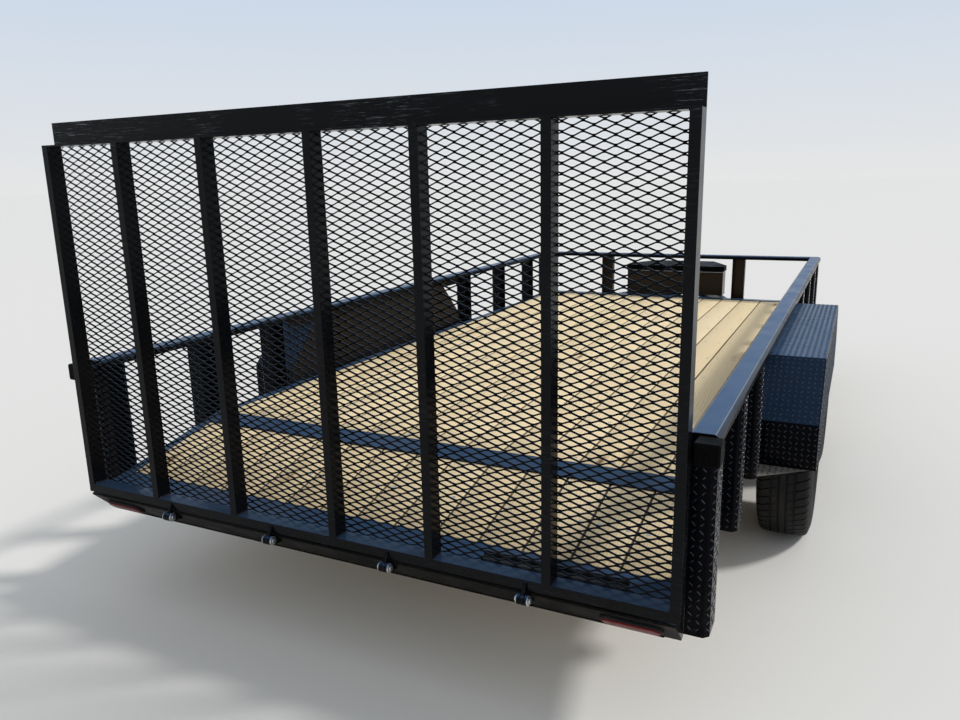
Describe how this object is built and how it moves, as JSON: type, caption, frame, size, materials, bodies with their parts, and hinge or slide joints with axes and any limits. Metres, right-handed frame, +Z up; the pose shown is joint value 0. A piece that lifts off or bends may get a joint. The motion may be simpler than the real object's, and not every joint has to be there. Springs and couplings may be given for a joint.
{
  "type": "tandem axle utility trailer with ramp gate",
  "caption": "Flat utility trailer with a plank deck, low side rails, tread plate fenders, a mesh ramp gate at the tail and a ball coupler, parked on its wheels and tongue jack.",
  "frame": {"origin": "on the ground, under the middle of the whole length and width", "axes": "+X to the right seen from behind, +Y forward to the coupler, +Z up"},
  "size_m": [2.532, 5.787, 1.639],
  "materials": {
    "black_paint": "gloss",
    "tread_plate": "gloss",
    "axle_black": "satin",
    "spring_steel": "matt",
    "coupler_paint": "satin",
    "wheel_paint": "satin",
    "zinc": "zinc plated",
    "deck_wood": "rough sawn, dry",
    "tyre": "matt",
    "lamp_red": "gloss"
  },
  "bodies": {
    "root": {"side_frame_right": "black_paint", "side_frame_left": "black_paint", "front_header": "black_paint", "crossmembers": "black_paint", "tail_plate": "black_paint", "deck_planks": "deck_wood", "deck_strips": "black_paint", "side_rail_right": "black_paint", "side_rail_left": "black_paint", "front_rail": "black_paint", "side_posts_right": "tread_plate", "side_posts_left": "tread_plate", "front_posts": "tread_plate", "fender_right": "tread_plate", "fender_left": "tread_plate", "leaf_springs": "spring_steel", "spring_hangers": "black_paint", "tongue_right": "black_paint", "tongue_left": "black_paint", "coupler": "coupler_paint", "jack_tube": "zinc", "jack_crank": "zinc", "toolbox_body": "black_paint", "gate_latches": "black_paint", "hinge_lugs": "black_paint", "tail_lamps": "lamp_red", "axle_rear": "axle_black", "axle_front": "axle_black"},
    "gate": {"gate_frame": "black_paint", "gate_mesh": "black_paint", "gate_hinges": "black_paint"},
    "toolbox_lid": {"toolbox_lid": "black_paint"},
    "jack_leg": {"jack_leg": "zinc"},
    "wheel_rear_left": {"tyre_rear_left": "tyre", "rim_rear_left": "wheel_paint", "hub_rear_left": "axle_black"},
    "wheel_rear_right": {"tyre_rear_right": "tyre", "rim_rear_right": "wheel_paint", "hub_rear_right": "axle_black"},
    "wheel_front_left": {"tyre_front_left": "tyre", "rim_front_left": "wheel_paint", "hub_front_left": "axle_black"},
    "wheel_front_right": {"tyre_front_right": "tyre", "rim_front_right": "wheel_paint", "hub_front_right": "axle_black"}
  },
  "joints": [
    {"name": "gate_hinge", "type": "hinge", "parent": "root", "child": "gate", "pos_m": [0, -2.8795, 0.373], "axis": [1, 0, 0], "range_deg": [0, 108.5]},
    {"name": "toolbox_hinge", "type": "hinge", "parent": "root", "child": "toolbox_lid", "pos_m": [0, 1.7585, 0.706], "axis": [1, 0, 0], "range_deg": [0, 80]},
    {"name": "jack_slide", "type": "slide", "parent": "root", "child": "jack_leg", "axis": [0, 0, 1], "range_m": [0, 0.25]},
    {"name": "wheel_spin_rear_left", "type": "hinge", "parent": "root", "child": "wheel_rear_left", "pos_m": [0, -1.3095, 0.344], "axis": [1, 0, 0], "continuous": true},
    {"name": "wheel_spin_rear_right", "type": "hinge", "parent": "root", "child": "wheel_rear_right", "pos_m": [0, -1.3095, 0.344], "axis": [1, 0, 0], "continuous": true},
    {"name": "wheel_spin_front_left", "type": "hinge", "parent": "root", "child": "wheel_front_left", "pos_m": [0, -0.4455, 0.344], "axis": [1, 0, 0], "continuous": true},
    {"name": "wheel_spin_front_right", "type": "hinge", "parent": "root", "child": "wheel_front_right", "pos_m": [0, -0.4455, 0.344], "axis": [1, 0, 0], "continuous": true}
  ]
}
